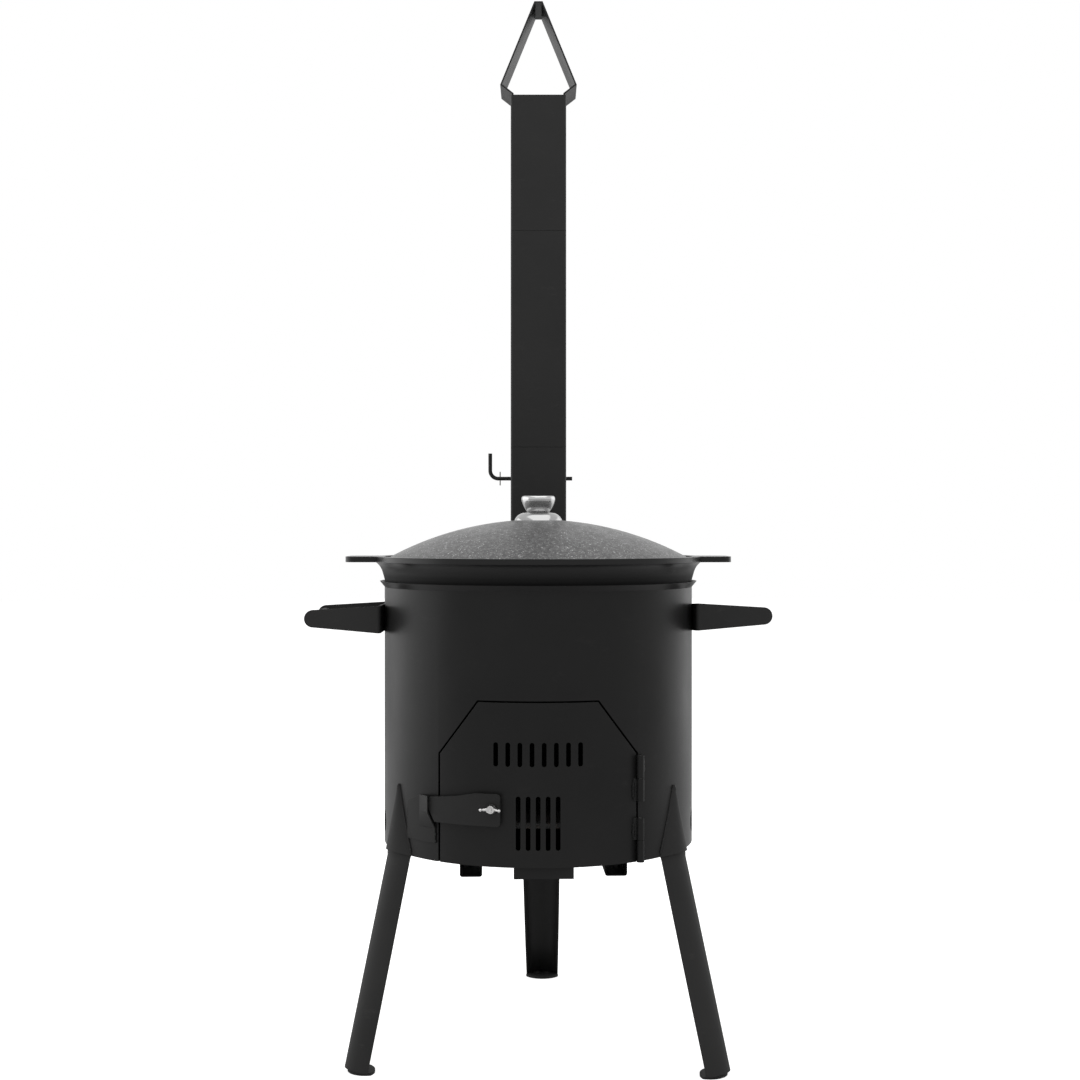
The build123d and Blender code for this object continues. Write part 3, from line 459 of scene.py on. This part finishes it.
def turn_knob():
    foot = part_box("knob")[0].z
    shape = bmesh.new()
    verts = [
        shape.verts.new((radius / MM_PER_METRE, DRUM_Y, foot + rise / MM_PER_METRE))
        for radius, rise in KNOB_PROFILE
    ]
    edges = [shape.edges.new(pair) for pair in zip(verts, verts[1:])]
    bmesh.ops.spin(
        shape, geom=verts + edges, cent=(0, DRUM_Y, 0), axis=(0, 0, 1),
        angle=2 * pi, steps=KNOB_STEPS, use_merge=True,
    )
    bmesh.ops.remove_doubles(shape, verts=shape.verts, dist=MERGE_GAP)
    knob = hand_over(shape, "knob_turned", "lid_body", ("knob",))
    rounding = knob.modifiers.new("rounding", "SUBSURF")
    rounding.levels = rounding.render_levels = KNOB_ROUNDING


# Wing nut, cast: a tapered hub and two wings with bulbed tips, measured from the hub's underside
NUT_SEAT = 0.1892           # from the drum's axis to the hub's underside
HUB_FOOT_R = 0.0051
HUB_TOP_R = 0.0041
HUB_HEIGHT = 0.0068
HUB_SIDES = 40
WING_ROOT_REACH = 0.003
WING_ROOT_RISE = 0.0032
WING_ROOT_R = 0.0021
WING_REACH = 0.0102
WING_RISE = 0.0088
WING_TIP_R = 0.0012
WING_SIDES = 20
WING_BULB_R = 0.0019
WING_BULB_RINGS = 12
CASTING_VOXEL = 0.00028
CASTING_SMOOTHS = 4


def cast_wing_nut():
    """The hub, wings and bulbs overlap, and a fine remesh runs them into one casting."""
    middle, outward = middle_and_outward("latch_bolt")
    seat = stand(Vector((0, DRUM_Y, middle.z)) + outward * NUT_SEAT, outward)
    shape = bmesh.new()
    bmesh.ops.create_cone(
        shape, cap_ends=True, segments=HUB_SIDES, radius1=HUB_FOOT_R, radius2=HUB_TOP_R,
        depth=HUB_HEIGHT, matrix=seat @ Matrix.Translation((0, 0, HUB_HEIGHT / 2)),
    )
    for side in (-1, 1):
        root = Vector((side * WING_ROOT_REACH, 0, WING_ROOT_RISE))
        tip = Vector((side * WING_REACH, 0, WING_RISE))
        bmesh.ops.create_cone(
            shape, cap_ends=True, segments=WING_SIDES, radius1=WING_ROOT_R, radius2=WING_TIP_R,
            depth=(tip - root).length, matrix=seat @ stand((tip + root) / 2, tip - root),
        )
        bmesh.ops.create_uvsphere(
            shape, u_segments=WING_SIDES, v_segments=WING_BULB_RINGS, radius=WING_BULB_R,
            matrix=seat @ Matrix.Translation(tip),
        )
    nut = hand_over(shape, "wing_nut_cast", "wing_nut_body", ("wing_nut",))
    fuse = nut.modifiers.new("fuse", "REMESH")
    fuse.mode = "VOXEL"
    fuse.voxel_size = CASTING_VOXEL
    fuse.use_smooth_shade = True
    relax = nut.modifiers.new("relax", "SMOOTH")
    relax.iterations = CASTING_SMOOTHS


# Welds: rippled beads laid along the joints
BEAD_SIDES = 8
BEAD_STEP = 0.0009
BEAD_END = 0.45             # of its full size, where a bead starts and stops
BEAD_SWELL = 0.2            # more with each step
RIPPLE = 0.0021             # from one ripple to the next
RIPPLE_DEPTH = 0.12         # of the bead's size

# Each kind of bead: its radius and its roughness
FLANK_BEAD = (0.0013, 0.5)
POINT_BLOB = (0.0027, 0.3)
KNUCKLE_BEAD = (0.0017, 0.9)
CATCH_TACK = (0.0016, 0.4)
CATCH_BEAD = (0.0015, 0.6)
HANDLE_BEAD = (0.0021, 0.5)
SEAM_BEAD = (0.0013, 0.4)
FOOT_BEAD = (0.0014, 0.6)


def on_wall(bearing, height, proud):
    """Point on the drum's wall: bearing in degrees from the door, to the right."""
    turn = radians(bearing)
    reach = DRUM_R + proud
    return Vector((reach * sin(turn), DRUM_Y - reach * cos(turn), height))


def up_wall(bearing, low, high, proud):
    """Path up the drum's wall from one height to another."""
    return [on_wall(bearing, low, proud), on_wall(bearing, high, proud)]


def stepped(path):
    """The path's corners, with points in between at an even step."""
    points = []
    for start, end in zip(path, path[1:]):
        count = max(1, round((end - start).length / BEAD_STEP))
        points += [start.lerp(end, i / count) for i in range(count)]
    return points + [path[-1]]


def lay_bead(shape, path, radius, rough, chance):
    """One bead: a round section carried along the path, thinner at both ends."""
    points = stepped(path)
    last = len(points) - 1
    before = None
    for i, point in enumerate(points):
        along = points[min(i + 1, last)] - points[max(i - 1, 0)]
        taper = min(1.0, BEAD_END + BEAD_SWELL * min(i, last - i))
        ripple = (1 - RIPPLE_DEPTH) + RIPPLE_DEPTH * abs(sin(pi * i * BEAD_STEP / RIPPLE))
        size = radius * taper * ripple * (1 + rough * (chance.random() - 0.5))
        ring = bmesh.ops.create_circle(
            shape, cap_ends=i in (0, last), segments=BEAD_SIDES, radius=size,
            matrix=stand(point, along),
        )["verts"]
        edges = list(dict.fromkeys(edge for vert in ring for edge in vert.link_edges))
        if before:
            bmesh.ops.bridge_loops(shape, edges=before + edges)
        before = edges


def weld(name, body, beads, seed):
    """A piece made of weld beads, each given as (path, kind of bead)."""
    chance = random.Random(seed)
    shape = bmesh.new()
    for path, (radius, rough) in beads:
        lay_bead(shape, path, radius, rough, chance)
    hand_over(shape, name, body)


# Leg sockets: the beads start near the mouth and stop short of the point, under the blob
SOCKET_HALF_WIDTH = 8.6     # degrees, at the socket's foot
FLANK_RISE = 0.004
FLANK_PROUD = 0.0006
FLANK_SHARE = 0.97          # of the way to the point
POINT_PROUD = 0.0008
BLOB_BELOW, BLOB_BELOW_PROUD = 0.006, 0.001
BLOB_ABOVE, BLOB_ABOVE_PROUD = 0.002, 0.0004


def point_bearing(node):
    """Bearing of the highest point of a node, in degrees from the door, to the right."""
    peak = max((vert.co for vert in nodes[node].data.vertices), key=lambda co: co.z)
    return degrees(atan2(peak.x, DRUM_Y - peak.y))


def weld_sockets():
    """Beads up both flanks of each leg socket, with a blob over its point."""
    for seed, place in enumerate(("left", "right", "rear"), 10):
        node = f"leg_socket_{place}"
        low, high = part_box(node)
        bearing = point_bearing(node)
        crest = on_wall(bearing, high.z, POINT_PROUD)
        beads = []
        for side in (-1, 1):
            foot = on_wall(bearing + side * SOCKET_HALF_WIDTH, low.z + FLANK_RISE, FLANK_PROUD)
            beads.append(([foot, foot.lerp(crest, FLANK_SHARE)], FLANK_BEAD))
        blob = [
            on_wall(bearing, high.z - BLOB_BELOW, BLOB_BELOW_PROUD),
            on_wall(bearing, high.z + BLOB_ABOVE, BLOB_ABOVE_PROUD),
        ]
        beads.append((blob, POINT_BLOB))
        weld(f"{node}_weld", "stove", beads, seed)


# Knuckles: the bearing of the beads beside them, and the heights between which each runs
KNUCKLE_PROUD = 0.0004
DOOR_WELD_BEARING = 34.95
DOOR_WELD_SPANS = ((0.2655, 0.2805), (0.3085, 0.3265))
DRUM_WELD_BEARING = 39.45
DRUM_WELD_SPANS = ((0.241, 0.258), (0.334, 0.351))


def weld_hinges():
    """Lumpy welds beside the knuckles, on the door and on the drum."""
    for name, body, bearing, spans, seed in (
        ("door_knuckle_welds", "door", DOOR_WELD_BEARING, DOOR_WELD_SPANS, 21),
        ("drum_knuckle_welds", "stove", DRUM_WELD_BEARING, DRUM_WELD_SPANS, 22),
    ):
        beads = [(up_wall(bearing, low, high, KNUCKLE_PROUD), KNUCKLE_BEAD) for low, high in spans]
        weld(name, body, beads, seed)


# Catch: tacks low on the side near the door, and a bead on the far side
TACK_BEARING = -38.2
TACK_HEIGHTS = (0.2588, 0.2662)
TACK_LENGTH = 0.0028
TACK_PROUD = 0.0012
CATCH_FAR_BEARING = -53.1
CATCH_FAR_SPAN = (0.262, 0.294)
CATCH_FAR_PROUD = 0.0006


def weld_catch():
    beads = [
        (up_wall(TACK_BEARING, height, height + TACK_LENGTH, TACK_PROUD), CATCH_TACK)
        for height in TACK_HEIGHTS
    ]
    beads.append((up_wall(CATCH_FAR_BEARING, *CATCH_FAR_SPAN, CATCH_FAR_PROUD), CATCH_BEAD))
    weld("latch_catch_welds", "stove", beads, seed=31)


# Handles: upright beads where the bracket's web meets the drum, short of its top and bottom
HANDLE_SEAM_PROUD = 0.0002
HANDLE_SEAM_HALF = 0.005    # the beads' distance from the web's middle
HANDLE_SEAM_SHORT = 0.005


def weld_handles():
    for seed, (place, side) in enumerate((("left", -1), ("right", 1)), 41):
        low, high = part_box(f"handle_bracket_{place}")
        seam_x = side * (DRUM_R + HANDLE_SEAM_PROUD)
        ends = (low.z + HANDLE_SEAM_SHORT, high.z - HANDLE_SEAM_SHORT)
        beads = [
            ([Vector((seam_x, DRUM_Y + offset, height)) for height in ends], HANDLE_BEAD)
            for offset in (-HANDLE_SEAM_HALF, HANDLE_SEAM_HALF)
        ]
        weld(f"handle_bracket_{place}_welds", "stove", beads, seed)


# Drum seam: its bearing, and its ends above the drum's foot
SEAM_BEARING = 152
SEAM_FROM = 0.004
SEAM_TO = 0.287
SEAM_PROUD = -0.0004


def weld_drum_seam():
    """The drum's own seam, up its back and clear of the duct."""
    seam = up_wall(SEAM_BEARING, DRUM_FOOT + SEAM_FROM, DRUM_FOOT + SEAM_TO, SEAM_PROUD)
    weld("drum_seam", "stove", [(seam, SEAM_BEAD)], seed=51)


# Feet: two short beads across each plate's heel
HEEL_REACH = 0.004
HEEL_PROUD = 0.0004
HEEL_BEAD_LENGTH = 0.007
HEEL_BEAD_STARTS = (-0.010, 0.003)


def weld_feet():
    """Short beads between each foot plate and its leg."""
    for seed, place in enumerate(("left", "right", "rear"), 61):
        middle, outward = middle_and_outward(f"foot_{place}")
        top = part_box(f"foot_{place}")[1].z
        across = Vector((-outward.y, outward.x, 0))
        heel = Vector((middle.x, middle.y, top + HEEL_PROUD)) + outward * HEEL_REACH
        beads = [
            ([heel + across * start, heel + across * (start + HEEL_BEAD_LENGTH)], FOOT_BEAD)
            for start in HEEL_BEAD_STARTS
        ]
        weld(f"foot_{place}_welds", f"{place}_leg", beads, seed)


bpy.context.scene.view_settings.view_transform = "Standard"
place_camera()
light_room()
hang_panels()
lay_floor()
paint_nodes()
turn_knob()
cast_wing_nut()
weld_sockets()
weld_hinges()
weld_catch()
weld_handles()
weld_drum_seam()
weld_feet()
